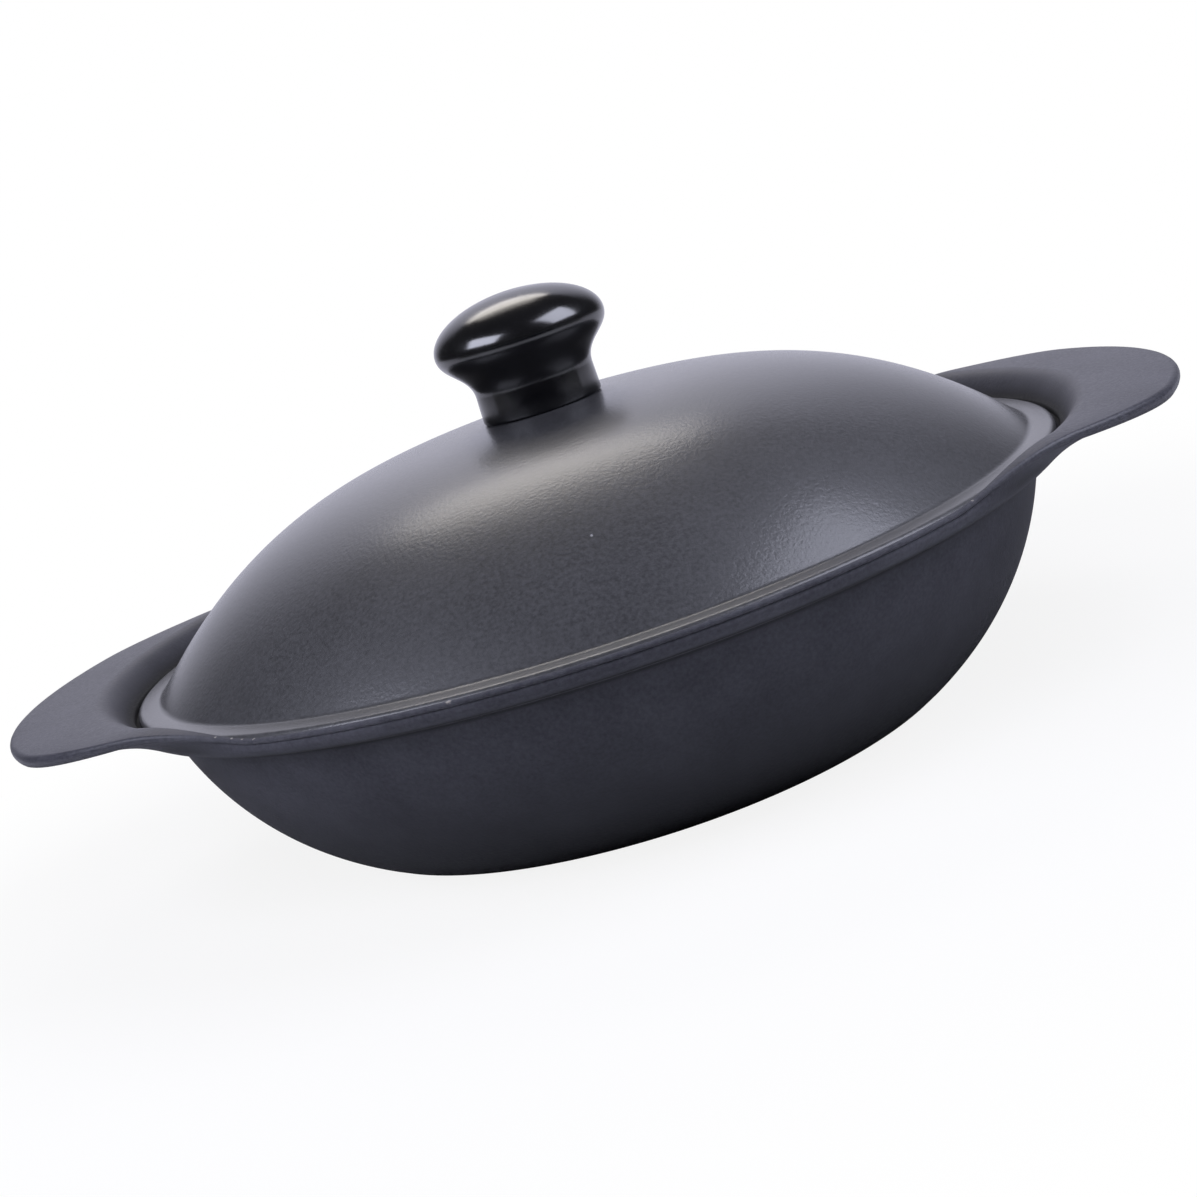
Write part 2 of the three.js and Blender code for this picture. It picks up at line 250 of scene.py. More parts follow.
def pot_section(angle):
    """Section of the pot at an angle, with how worn and how handled each point is, and how much painted shade
    it takes.
    """
    spread, rise, reach, edge, edge_top = rim_at(angle)
    root_top = blend(lip_top, wing_top, rise)
    inner_arc = wall_arc_radius - wall_thickness
    base_end = wall_point(wall_arc_radius, base_edge_round)
    crease_start = wall_point(wall_arc_radius, crease_height - crease_round)
    crease = wall_point(wall_arc_radius, crease_height)
    heel = np.array((lip_radius - lip_taper, crease_height + heel_rise))
    heel_pull = (lip_radius, (heel[1] + seat_height) / 2)
    root_pull = (
        lip_radius + wing_root_reach * spread,
        root_top - blend(lip_root_thickness, wing_root_thickness, spread),
    )
    face = cubic(heel, heel_pull, root_pull, (reach - edge, edge_top - 2 * edge), face_facets)
    mouth_width = min(wing_mouth_width, wing_mouth_share * (reach - edge - seat_radius))
    mouth_depth = blend(mouth_width, wing_rise + wing_mouth_drop, rise)
    mouth_top = np.array((seat_radius + mouth_width, root_top))
    mouth_foot = np.array((seat_radius, root_top - mouth_depth))
    seat_corner = np.array((seat_radius, seat_height))
    seat_inner = wall_point(inner_arc, seat_height)
    inner_wall_start = wall_point(inner_arc, inner_wall_top)
    floor_corner = wall_point(inner_arc, base_thickness)
    floor_start = base_thickness + floor_round / 2
    outside = np.vstack((
        [(base_radius * share, 0) for share in base_ring_shares],
        rounded((0, 0), (base_radius, 0), base_end, base_edge_round, base_edge_facets),
        wall_arc(wall_arc_radius, base_edge_round, crease_height - crease_round, wall_facets)[1:-1],
        rounded(crease_start, crease, heel, crease_round, crease_facets),
        rounded(crease, heel, face[face_start - 1], heel_round, heel_facets),
        face[face_start:],
    ))
    rim = arc((reach - edge, edge_top - edge), edge, edge, -math.pi / 2, math.pi / 2, rim_facets)[1:]
    mouth = wing_mouth(mouth_top, mouth_foot, rise)
    floor_edge = rounded(
        wall_point(inner_arc, floor_start), floor_corner, (0, base_thickness),
        floor_round, floor_round_facets,
    )
    inside = np.vstack((
        rounded(mouth_foot, seat_corner, seat_inner, seat_corner_round, seat_corner_facets),
        [blend(seat_corner, seat_inner, share) for share in seat_ring_shares],
        rounded(seat_corner, seat_inner, inner_wall_start, seat_edge_round, seat_edge_facets),
        wall_arc(inner_arc, inner_wall_top, floor_start, inner_wall_facets),
        floor_edge[1:],
        [(floor_corner[0] * share, base_thickness) for share in floor_ring_shares],
    ))
    points = np.vstack((outside, rim, mouth, inside))
    handled = rise * np.concatenate((
        np.zeros(len(outside)),
        np.minimum(1, np.linspace(0, 2, len(rim))),
        np.linspace(1, 0, len(mouth)),
        np.zeros(len(inside)),
    ))
    edge_point = np.array((reach, edge_top - edge))
    worn = nearness(points, edge_point, rim_wear_reach) * (1 - wing_wear_loss * spread)
    # Painted shade: black in the crease, under the lip's heel and at the foot of the wings' mouths.
    painted_recess_shade = np.maximum.reduce((
        nearness(points, crease, crease_shade_reach),
        nearness(points, heel, heel_shade_reach),
        nearness(points, mouth_foot, mouth_shade_reach) * rise,
    ))
    place = Vector((reach * math.cos(angle), reach * math.sin(angle), 0)) / lip_wave
    points[:, 0] -= worn * lip_unevenness * (1 - spread) * (1 + noise.noise(place)) / 2
    return points, {"worn": worn, "painted_recess_shade": painted_recess_shade, "handled": handled}


def swept(name, section_at, steps):
    """A closed mesh round Z from sections that start and end on the axis, with named values at its points."""
    angles = [2 * math.pi * i / steps for i in range(steps)]
    sections = [section_at(angle) for angle in angles]
    rings = len(sections[0][0]) - 2
    places = []
    for angle, (points, _) in zip(angles, sections):
        places += [(r * math.cos(angle), r * math.sin(angle), z) for r, z in points[1:-1]]
    bottom = len(places)
    top = bottom + 1
    places += [(0, 0, sections[0][0][0][1]), (0, 0, sections[0][0][-1][1])]
    faces = []
    for i in range(steps):
        here = i * rings
        after = (i + 1) % steps * rings
        faces.append((bottom, after, here))
        faces += [(here + j, after + j, after + j + 1, here + j + 1) for j in range(rings - 1)]
        faces.append((here + rings - 1, after + rings - 1, top))
    mesh = bpy.data.meshes.new(name)
    mesh.from_pydata([Vector(p) * MM for p in places], [], faces)
    for mark in sections[0][1]:
        values = np.concatenate([marks[mark][1:-1] for _, marks in sections] + [np.zeros(2)])
        mesh.attributes.new(mark, "FLOAT", "POINT").data.foreach_set("value", values)
    mesh.shade_smooth()
    made = bpy.data.objects.new(name, mesh)
    scene.collection.objects.link(made)
    return made


def linear(hex_colour):
    """An sRGB hex colour as linear RGBA."""
    parts = [int(hex_colour[i:i + 2], 16) / 255 for i in (1, 3, 5)]
    return [c / 12.92 if c <= 0.04045 else ((c + 0.055) / 1.055) ** 2.4 for c in parts] + [1]


def add(tree, kind, inputs=None, **settings):
    """Adds a node with its settings, and fills its inputs. An input given a socket is linked to it, and one
    given a node is linked to that node's first output in use."""
    made = tree.nodes.new(kind)
    for name, value in settings.items():
        setattr(made, name, value)
    for socket, value in (inputs or {}).items():
        if isinstance(value, bpy.types.Node):
            value = next(output for output in value.outputs if output.enabled)
        if isinstance(value, bpy.types.NodeSocket):
            tree.links.new(value, made.inputs[socket])
        else:
            made.inputs[socket].default_value = value
    return made


def empty_material(name):
    material = bpy.data.materials.new(name)
    material.use_nodes = True
    material.node_tree.nodes.clear()
    return material, material.node_tree


noise_low, noise_high = (0.3, 0.7)  # nearly all values of a noise lie in here
noise_roughness = 0.6  # how strongly the finer parts of a noise show


def casting_skin(tree, place, grain_size, grain_detail, cloud_size, grain_share, dark, light):
    """The grain of a casting, and its colour, which runs from dark to light by the grain and broad clouds."""
    cloud_detail = 3
    grain = add(tree, "ShaderNodeTexNoise", {
        "Vector": place, "Scale": 1 / grain_size, "Detail": grain_detail, "Roughness": noise_roughness,
    })
    clouds = add(tree, "ShaderNodeTexNoise", {
        "Vector": place, "Scale": 1 / cloud_size, "Detail": cloud_detail, "Roughness": noise_roughness,
    })
    fine, broad = (
        add(tree, "ShaderNodeMapRange", {
            "Value": layer, "From Min": noise_low, "From Max": noise_high, "To Max": share,
        })
        for layer, share in ((grain, grain_share), (clouds, 1 - grain_share))
    )
    lightness = add(tree, "ShaderNodeMath", {0: fine, 1: broad}, operation="ADD")
    colour = add(tree, "ShaderNodeMix", {
        "Factor": lightness, "A": linear(dark), "B": linear(light),
    }, data_type="RGBA")
    return grain, colour


def spots(tree, place, marks):
    """1 within small ragged marks, each a place and a radius in millimetres, and 0 elsewhere."""
    ragged_size = 0.5 * MM
    ragged_shift = 0.7 * MM
    clear_from = 1.3  # share of a mark's radius from which nothing of it shows
    full_to = 0.6  # share of its radius up to which it shows fully
    shift = add(tree, "ShaderNodeTexNoise", {"Vector": place, "Scale": 1 / ragged_size})
    ragged = add(tree, "ShaderNodeVectorMath", {
        0: shift.outputs["Color"], 1: [ragged_shift] * 3, 2: place,
    }, operation="MULTIPLY_ADD")
    inside = None
    for centre, radius in marks:
        centre = Vector(centre) * MM + Vector([ragged_shift / 2] * 3)
        distance = add(tree, "ShaderNodeVectorMath", {0: ragged, 1: centre}, operation="DISTANCE")
        spot = add(tree, "ShaderNodeMapRange", {
            "Value": distance, "From Min": clear_from * radius * MM, "From Max": full_to * radius * MM,
        })
        if inside:
            spot = add(tree, "ShaderNodeMath", {0: inside, 1: spot}, operation="MAXIMUM")
        inside = spot
    return inside


def chip_places():
    """Places of the rim's chips, on its top, each with its radius."""
    for degrees, radius in rim_chips:
        angle = math.radians(degrees)
        _, _, reach, edge, edge_top = rim_at(angle)
        yield ((reach - edge) * math.cos(angle), (reach - edge) * math.sin(angle), edge_top), radius


# Oil-baked cast iron: dull blue-black with the fine grain of a blasted sand casting. Shade is painted in:
# black in the crease under the lip and in the wings' mouths, and darker towards the base. The wings are
# handled smooth, and the rim is rubbed grey and a little chipped.
def oil_baked_iron():
    grain_size = 0.9 * MM  # coarser than the real grain, which is too fine to show
    grain_detail = 3
    grain_share = 0.6
    grain_depth = 0.09 * MM
    cloud_size = 22 * MM
    wear_size = 1.6 * MM
    wear_detail = 2
    wear_low, wear_high = (0.42, 0.66)  # values of the wear's noise: none of it before, all of it after
    wear_share = 0.3
    # Painted shade towards the base: full share at the base, none from this height up
    painted_shade_top = 46 * MM
    painted_shade_share = 0.97
    wall_roughness = 0.82
    handled_roughness = 0.42
    grain_roughness = 0.07  # more or less than the rest, by the grain
    material, tree = empty_material("oil_baked_cast_iron")
    place = add(tree, "ShaderNodeTexCoord").outputs["Object"]
    grain, colour = casting_skin(
        tree, place, grain_size, grain_detail, cloud_size, grain_share, "#2e2e35", "#4c4c53",
    )
    # The rim's wear, painted shade in the crease, under the lip and in the mouths, and the wings' smoothness.
    worn, painted_recess_shade, handled = (
        add(tree, "ShaderNodeAttribute", attribute_name=mark).outputs["Fac"]
        for mark in ("worn", "painted_recess_shade", "handled")
    )
    # Painted shade: the skin is darker towards the base.
    painted_base_shade = add(tree, "ShaderNodeMapRange", {
        "Value": add(tree, "ShaderNodeSeparateXYZ", {0: place}).outputs["Z"],
        "From Max": painted_shade_top,
        "To Min": painted_shade_share,
        "To Max": 0,
    })
    wear = add(tree, "ShaderNodeTexNoise", {
        "Vector": place, "Scale": 1 / wear_size, "Detail": wear_detail, "Roughness": noise_roughness,
    })
    wear_patches = add(tree, "ShaderNodeMapRange", {
        "Value": wear, "From Min": wear_low, "From Max": wear_high, "To Max": wear_share,
    })
    rubbed = add(tree, "ShaderNodeMath", {0: worn, 1: wear_patches}, operation="MULTIPLY")
    chipped = spots(tree, place, chip_places())
    # The first two layers are painted shade: darker towards the base, and black in the crease, under the
    # lip's heel and in the mouths.
    layers = ((painted_base_shade, "#0c0c0f"), (painted_recess_shade, "#060608"), (rubbed, "#5a595e"), (chipped, "#938f88"))
    for share, layer in layers:
        colour = add(tree, "ShaderNodeMix", {
            "Factor": share, "A": colour, "B": linear(layer),
        }, data_type="RGBA")
    smoothed = add(tree, "ShaderNodeMapRange", {
        "Value": handled, "To Min": wall_roughness, "To Max": handled_roughness,
    })
    uneven = add(tree, "ShaderNodeMapRange", {
        "Value": grain,
        "From Min": noise_low,
        "From Max": noise_high,
        "To Min": -grain_roughness,
        "To Max": grain_roughness,
    })
    shader = add(tree, "ShaderNodeBsdfPrincipled", {
        "Base Color": colour,
        "Roughness": add(tree, "ShaderNodeMath", {0: smoothed, 1: uneven}, operation="ADD"),
        "Normal": add(tree, "ShaderNodeBump", {"Height": grain, "Distance": grain_depth, "Strength": 1}),
        "Specular IOR Level": 0.35,
    })
    add(tree, "ShaderNodeOutputMaterial", {"Surface": shader})
    return material


pot = swept("pot_casting", pot_section, pot_steps)
pot.data.materials.append(oil_baked_iron())
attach(pot, "pot")
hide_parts("pot_body")


# Lid
# One iron casting, turned smooth on top: a dome on a flat flange, with a flat for the knob and a hole for
# its screw. It rests with its flange on the pot's seat. Sizes are in millimetres, from the flange's
# underside up.
flange_height = flange_thickness / MM
flange_radius = lid_high.x / MM
flange_width = 6.1
flange_edge_radius = 1.5
flange_foot_round = 0.4
flange_fall = 0.2
lid_height = (lid_high.z - lid_low.z) / MM
lid_thickness = 2.8
dome_rise = lid_height - flange_height
dome_radius = flange_radius - flange_width
dome_power = 3.05
dome_foot_round = 0.8
knob_land_radius = 16.6
washer_land_radius = 9.0
land_edge_round = 1.0
screw_hole_radius = 2.8
hole_edge_round = 0.25
inner_foot_round = 0.6
dome_rows = 60
dome_crowding = 1.2  # above 1 puts more rows near the dome's steep foot
dome_foot_facets = 10
corner_facets = 5
lid_steps = 288
lid_specks = (  # place in the pot's frame, and radius
    ((3.7, -90.3, 71.7), 0.35), ((-71.5, -64.2, 68.5), 0.25), ((44.0, -82.0, 70.5), 0.25),
)


def geometry_tree(name, inputs):
    """A geometry node tree that gives back a mesh, with the sockets of its inputs."""
    tree = bpy.data.node_groups.new(name, "GeometryNodeTree")
    for input_name, kind in inputs.items():
        tree.interface.new_socket(input_name, in_out="INPUT", socket_type="NodeSocket" + kind)
    tree.interface.new_socket("Mesh", in_out="OUTPUT", socket_type="NodeSocketGeometry")
    return tree, add(tree, "NodeGroupInput").outputs


def turning_tree():
    """Turns a profile about Z: a chain of edges in XZ, with a rounding radius on each corner."""
    weld_distance = 0.001 * MM
    tree, given = geometry_tree("turned_profile", {
        "Profile": "Geometry", "Steps": "Int", "Corner facets": "Int", "Material": "Material",
    })
    rounding = add(tree, "GeometryNodeInputNamedAttribute", {"Name": "rounding"}, data_type="FLOAT")
    eased = add(tree, "GeometryNodeFilletCurve", {
        "Curve": add(tree, "GeometryNodeMeshToCurve", {"Mesh": given["Profile"]}),
        "Count": given["Corner facets"],
        "Radius": rounding,
        "Limit Radius": True,
    }, mode="POLY")
    size = add(tree, "GeometryNodeAttributeDomainSize", {"Geometry": eased}, component="CURVE")
    rows = size.outputs["Point Count"]
    columns = add(tree, "FunctionNodeIntegerMath", {0: given["Steps"], 1: 1}, operation="ADD")
    grid = add(tree, "GeometryNodeMeshGrid", {"Vertices X": columns, "Vertices Y": rows})
    index = add(tree, "GeometryNodeInputIndex")
    row = add(tree, "FunctionNodeIntegerMath", {0: index, 1: rows}, operation="MODULO")
    column = add(tree, "FunctionNodeIntegerMath", {0: index, 1: rows}, operation="DIVIDE_FLOOR")
    profile_point = add(tree, "GeometryNodeSampleIndex", {
        "Geometry": eased,
        "Value": add(tree, "GeometryNodeInputPosition"),
        "Index": row,
    }, data_type="FLOAT_VECTOR", domain="POINT")
    share = add(tree, "ShaderNodeMath", {0: column, 1: given["Steps"]}, operation="DIVIDE")
    angle = add(tree, "ShaderNodeMath", {0: share, 1: 2 * math.pi}, operation="MULTIPLY")
    turned_point = add(tree, "ShaderNodeVectorRotate", {
        "Vector": profile_point, "Angle": angle,
    }, rotation_type="Z_AXIS")
    placed = add(tree, "GeometryNodeSetPosition", {"Geometry": grid, "Position": turned_point})
    welded = add(tree, "GeometryNodeMergeByDistance", {"Geometry": placed, "Distance": weld_distance})
    smooth = add(tree, "GeometryNodeSetShadeSmooth", {"Geometry": welded})
    real = add(tree, "GeometryNodeRealizeInstances", {"Geometry": smooth})
    finished = add(tree, "GeometryNodeSetMaterial", {"Geometry": real, "Material": given["Material"]})
    add(tree, "NodeGroupOutput", {"Mesh": finished})
    return tree


def bake(made):
    """Keeps what an object's modifiers make, and takes them off."""
    evaluated = made.evaluated_get(bpy.context.evaluated_depsgraph_get())
    result = bpy.data.meshes.new_from_object(evaluated)
    made.modifiers.clear()
    made.data = result
    result.name = made.name


def made_by(tree, name, mesh, settings):
    """An object whose mesh is what the tree makes of the given mesh."""
    made = bpy.data.objects.new(name, mesh)
    scene.collection.objects.link(made)
    modifier = made.modifiers.new(tree.name, "NODES")
    modifier.node_group = tree
    for item in tree.interface.items_tree:
        if item.in_out == "INPUT" and item.name in settings:
            modifier[item.identifier] = settings[item.name]
    bake(made)
    return made


turned_profile = turning_tree()


def turned(name, profile, height, steps, material):
    """A turned piece from a profile of (r, z, rounding) points in millimetres above a height in metres."""
    mesh = bpy.data.meshes.new(name)
    places = [(r * MM, 0, height + z * MM) for r, z, _ in profile]
    mesh.from_pydata(places, [(i, i + 1) for i in range(len(places) - 1)], [])
    roundings = mesh.attributes.new("rounding", "FLOAT", "POINT")
    roundings.data.foreach_set("value", [rounding * MM for _, _, rounding in profile])
    settings = {"Steps": steps, "Corner facets": corner_facets, "Material": material}
    return made_by(turned_profile, name, mesh, settings)


def dome_height(r):
    return flange_height + dome_rise * (1 - (r / dome_radius) ** dome_power)


def unrounded(points):
    return [(r, z, 0) for r, z in points]


def lid_profile():
    foot_start = dome_radius - dome_foot_round
    outer_shares = np.linspace(0, 1, dome_rows + 1) ** dome_crowding
    outer_radii = blend(foot_start, knob_land_radius, outer_shares)
    outer = np.column_stack((outer_radii, dome_height(outer_radii)))
    slopes = dome_rise * dome_power * (outer_radii / dome_radius) ** (dome_power - 1) / dome_radius
    lengths = np.hypot(1, slopes)
    inner = outer - np.column_stack((slopes, np.ones_like(slopes))) * (lid_thickness / lengths)[:, None]
    inner = inner[(inner[:, 0] > washer_land_radius) & (inner[:, 1] > flange_height)][::-1]
    foot_pull = dome_radius - dome_foot_round / 2
    foot = cubic(
        (dome_radius + dome_foot_round, flange_height), (dome_radius, flange_height),
        (foot_pull, dome_height(foot_pull)), outer[0], dome_foot_facets,
    )
    inner_foot_radius = dome_radius - lid_thickness * math.sqrt(2)  # the foot slopes at about 45 degrees
    underside = lid_height - lid_thickness
    return [
        (screw_hole_radius, lid_height - lid_thickness / 2, 0),
        (screw_hole_radius, underside, hole_edge_round),
        (washer_land_radius, underside, land_edge_round),
        *unrounded(inner),
        (inner_foot_radius, 0, inner_foot_round),
        (flange_radius, 0, flange_foot_round),
        (flange_radius, flange_height - flange_fall, flange_edge_radius),
        *unrounded(foot[:-1]),
        *unrounded(outer[:-1]),
        (knob_land_radius, lid_height, land_edge_round),
        (screw_hole_radius, lid_height, hole_edge_round),
        (screw_hole_radius, lid_height - lid_thickness / 2, 0),
    ]


# Satin cast iron: the lid's top is finer than the pot, and a thin baked coat follows its grain, so it holds
# a soft sheen over a fine even speckle. A few light specks of dust lie on it.
def satin_iron():
    grain_size = 0.95 * MM  # coarser than the real grain, which is too fine to show
    grain_detail = 2
    grain_share = 0.7
    grain_depth = 0.06 * MM
    cloud_size = 30 * MM
    material, tree = empty_material("satin_cast_iron")
    place = add(tree, "ShaderNodeTexCoord").outputs["Object"]
    grain, skin = casting_skin(
        tree, place, grain_size, grain_detail, cloud_size, grain_share, "#242427", "#404043",
    )
    dusty = add(tree, "ShaderNodeMix", {
        "Factor": spots(tree, place, lid_specks), "A": skin, "B": linear("#8a8a8c"),
    }, data_type="RGBA")
    roughness = add(tree, "ShaderNodeMapRange", {
        "Value": grain, "From Min": noise_low, "From Max": noise_high, "To Min": 0.48, "To Max": 0.58,
    })
    bump = add(tree, "ShaderNodeBump", {"Height": grain, "Distance": grain_depth, "Strength": 1})
    shader = add(tree, "ShaderNodeBsdfPrincipled", {
        "Base Color": dusty,
        "Roughness": roughness,
        "Normal": bump,
        "Specular IOR Level": 0.5,
        "Coat Weight": 0.9,
        "Coat Roughness": 0.22,
        "Coat IOR": 1.35,
        "Coat Normal": bump,
    })
    add(tree, "ShaderNodeOutputMaterial", {"Surface": shader})
    return material


lid = turned("lid_casting", lid_profile(), lid_low.z, lid_steps, satin_iron())
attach(lid, "lid")
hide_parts("lid")


# Knob
# A mushroom knob moulded in black phenolic and polished, with a blind socket in its foot for the insert. The
# screw in the lid pulls its foot down on the lid's flat. Sizes are in millimetres, from its foot up.
knob_low, knob_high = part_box("knob")
knob_foot_radius = 15.3
knob_foot_round = 0.9
knob_neck_radius = 15.1
knob_neck_height = 7.2
knob_flare_rise = 5.8
knob_flare_drop = 5.0
knob_cap_radius = knob_high.x / MM
knob_height = (knob_high.z - knob_low.z) / MM
knob_cap_height = 19.2
insert_low, insert_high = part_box("knob_insert")
insert_radius = insert_high.x / MM
insert_length = (insert_high.z - insert_low.z) / MM
fit_gap = 0.3
socket_edge_round = 0.3
flare_facets = 28
crown_facets = 36
knob_steps = 192


def knob_profile():
    socket_radius = insert_radius + fit_gap
    socket_depth = insert_length + fit_gap
    knob_crown = knob_height - knob_cap_height
    flare = cubic(
        (knob_neck_radius, knob_neck_height), (knob_neck_radius, knob_neck_height + knob_flare_rise),
        (knob_cap_radius, knob_cap_height - knob_flare_drop), (knob_cap_radius, knob_cap_height),
        flare_facets,
    )
    crown = arc((0, knob_cap_height), knob_cap_radius, knob_crown, 0, math.pi / 2, crown_facets)
    return [
        (0, socket_depth, 0),
        (socket_radius, socket_depth, socket_edge_round),
        (socket_radius, 0, socket_edge_round),
        (knob_foot_radius, 0, knob_foot_round),
        *unrounded(flare),
        *unrounded(crown[1:-1]),
        (0, knob_height, 0),
    ]


def uneven_finish(tree, place, patch_size, detail, colours, roughnesses):
    """A colour and a roughness that change together, each between two values, from patch to patch."""
    patches = add(tree, "ShaderNodeTexNoise", {
        "Vector": place, "Scale": 1 / patch_size, "Detail": detail, "Roughness": noise_roughness,
    })
    colour = add(tree, "ShaderNodeMix", {
        "Factor": patches, "A": linear(colours[0]), "B": linear(colours[1]),
    }, data_type="RGBA")
    roughness = add(tree, "ShaderNodeMapRange", {
        "Value": patches,
        "From Min": noise_low,
        "From Max": noise_high,
        "To Min": roughnesses[0],
        "To Max": roughnesses[1],
    })
    return {"Base Color": colour, "Roughness": roughness}


# Polished phenolic: a hard black moulding with a clear gloss, a little uneven where it has been handled.
def polished_phenolic():
    smear_size = 9 * MM
    smear_detail = 4
    material, tree = empty_material("polished_phenolic")
    place = add(tree, "ShaderNodeTexCoord").outputs["Object"]
    shader = add(tree, "ShaderNodeBsdfPrincipled", {
        **uneven_finish(tree, place, smear_size, smear_detail, ("#07070a", "#0c0c0f"), (0.15, 0.23)),
        "IOR": 1.75,
    })
    add(tree, "ShaderNodeOutputMaterial", {"Surface": shader})
    return material


knob = turned("knob_moulding", knob_profile(), knob_low.z, knob_steps, polished_phenolic())
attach(knob, "lid")
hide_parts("knob")


# Insert
# A brass nut turned from bar and knurled outside, moulded into the knob's foot, where the groove round its
# middle keeps it from pulling out. The screw from the lid runs in its bore. Sizes are in millimetres, from
# its foot up.
insert_bore_radius = 2.8
insert_edge_round = 0.4
insert_groove_depth = 0.8
insert_groove_length = 3.0
insert_groove_round = 0.15
insert_teeth = 40
insert_tooth_depth = 0.3
sharp_from = math.radians(35)


def insert_profile():
    groove_low = (insert_length - insert_groove_length) / 2
    groove_high = groove_low + insert_groove_length
    groove_radius = insert_radius - insert_groove_depth
    return [
        (insert_bore_radius, insert_length / 2, 0),
        (insert_bore_radius, 0, insert_edge_round),
        (insert_radius, 0, insert_edge_round),
        (insert_radius, groove_low, insert_groove_round),
        (groove_radius, groove_low, insert_groove_round),
        (groove_radius, groove_high, insert_groove_round),
        (insert_radius, groove_high, insert_groove_round),
        (insert_radius, insert_length, insert_edge_round),
        (insert_bore_radius, insert_length, insert_edge_round),
        (insert_bore_radius, insert_length / 2, 0),
    ]


def knurl(piece, valley_radius, teeth):
    """Presses valleys into the outside of a turned piece that has two steps for each tooth."""
    for vertex in piece.data.vertices:
        radius = math.hypot(vertex.co.x, vertex.co.y)
        step = round(math.atan2(vertex.co.y, vertex.co.x) * teeth / math.pi)
        if step % 2 and radius > valley_radius:
            vertex.co.x *= valley_radius / radius
            vertex.co.y *= valley_radius / radius


# Turned brass: warm yellow metal with the fine rings that the lathe leaves.
def turned_brass():
    ring_pitch = 0.15 * MM
    ring_depth = 0.006 * MM
    tarnish_size = 3 * MM
    tarnish_detail = 3
    material, tree = empty_material("turned_brass")
    place = add(tree, "ShaderNodeTexCoord").outputs["Object"]
    height = add(tree, "ShaderNodeSeparateXYZ", {0: place}).outputs["Z"]
    rings = add(tree, "ShaderNodeTexNoise", {"W": height, "Scale": 1 / ring_pitch}, noise_dimensions="1D")
    shader = add(tree, "ShaderNodeBsdfPrincipled", {
        **uneven_finish(tree, place, tarnish_size, tarnish_detail, ("#b88f45", "#d3ac62"), (0.26, 0.38)),
        "Normal": add(tree, "ShaderNodeBump", {"Height": rings, "Distance": ring_depth, "Strength": 1}),
        "Metallic": 1,
    })
    add(tree, "ShaderNodeOutputMaterial", {"Surface": shader})
    return material


insert = turned("insert_nut", insert_profile(), insert_low.z, 2 * insert_teeth, turned_brass())
knurl(insert, (insert_radius - insert_tooth_depth) * MM, insert_teeth)
insert.data.set_sharp_from_angle(angle=sharp_from)
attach(insert, "lid")
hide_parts("knob_insert")


# Flat washer
# Stamped from sheet steel and zinc plated, so one edge is rounder than the other. It lies against the lid's
# inside and spreads the screw's pull. Sizes are in millimetres, from its lower face up.
washer_low, washer_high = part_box("flat_washer")
washer_radius = washer_high.x / MM
washer_thickness = (washer_high.z - washer_low.z) / MM
washer_round_edge = 0.3
washer_sharp_edge = 0.1
washer_steps = 96


# Zinc-plated steel: bright bluish grey metal, a little cloudy where the plating is thinner.
def zinc_plated_steel():
    cloud_size = 2.5 * MM
    cloud_detail = 3
    material, tree = empty_material("zinc_plated_steel")
    place = add(tree, "ShaderNodeTexCoord").outputs["Object"]
    shader = add(tree, "ShaderNodeBsdfPrincipled", {
        **uneven_finish(tree, place, cloud_size, cloud_detail, ("#a4a8ae", "#c3c6ca"), (0.25, 0.4)),
        "Metallic": 1,
    })
    add(tree, "ShaderNodeOutputMaterial", {"Surface": shader})
    return material


zinc = zinc_plated_steel()
washer = turned("stamped_washer", [
    (screw_hole_radius, washer_thickness / 2, 0),
    (screw_hole_radius, 0, washer_sharp_edge),
    (washer_radius, 0, washer_round_edge),
    (washer_radius, washer_thickness, washer_sharp_edge),
    (screw_hole_radius, washer_thickness, washer_round_edge),
    (screw_hole_radius, washer_thickness / 2, 0),
], washer_low.z, washer_steps, zinc)
washer.data.set_sharp_from_angle(angle=sharp_from)
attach(washer, "lid")
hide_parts("flat_washer")


# Spring washer
# A bar of square spring steel coiled once and cut through on a slant, zinc plated. The tightened screw
# presses it flat, and it keeps the screw from working loose. Sizes are in millimetres.
spring_low, spring_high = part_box("spring_washer")
spring_radius = spring_high.x / MM
spring_middle = (spring_radius + screw_hole_radius) / 2
spring_thickness = (spring_high.z - spring_low.z) / MM
spring_slit = 0.9
spring_slant = math.radians(20)
spring_edge_round = 0.15
spring_edge_facets = 3
spring_steps = 72


